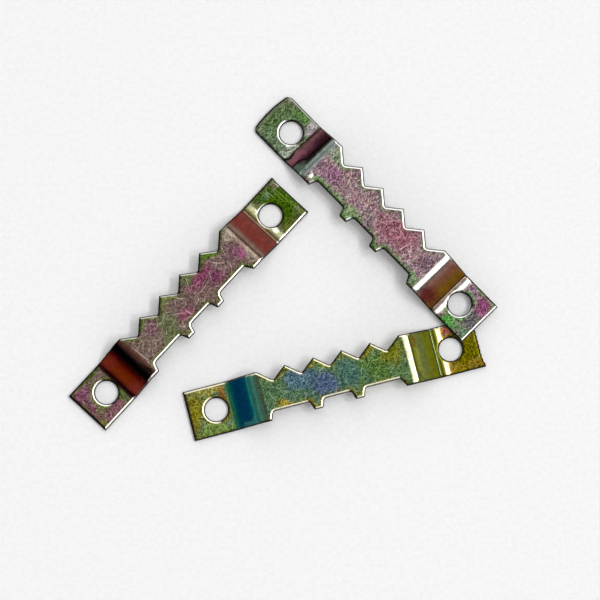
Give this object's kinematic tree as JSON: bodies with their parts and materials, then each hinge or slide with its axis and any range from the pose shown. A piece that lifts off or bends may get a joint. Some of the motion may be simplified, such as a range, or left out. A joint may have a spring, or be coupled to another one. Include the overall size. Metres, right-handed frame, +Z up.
{
  "type": "sawtooth picture hanger set",
  "caption": "Loose set of sawtooth picture hangers: bent sheet-steel strips with a nail hole in each flat end tab, a raised middle with a notched edge, and an iridescent zinc finish.",
  "frame": {"origin": "centre of the set's footprint, on the table under the hangers", "axes": "+X to the right along the table, +Y away from the viewer, +Z up from the table; the picture looks down -Z with +X to the right"},
  "size_m": [0.0646, 0.0522, 0.0039],
  "materials": {
    "front_plating": "zinc plated with a yellow iridescent passivation, here green, olive and blue",
    "left_plating": "zinc plated with a yellow iridescent passivation, here purple, brown and green",
    "right_plating": "zinc plated with a yellow iridescent passivation, here pink, grey and green"
  },
  "bodies": {
    "front": {"front_hanger": "front_plating"},
    "left": {"left_hanger": "left_plating"},
    "right": {"right_hanger": "right_plating"}
  },
  "joints": [
    {"name": "left_lift", "type": "slide", "parent": "front", "child": "left", "axis": [0, 0, 1], "range_m": [0, 0.03]},
    {"name": "right_lift", "type": "slide", "parent": "front", "child": "right", "axis": [0, 0, 1], "range_m": [0, 0.03]}
  ]
}
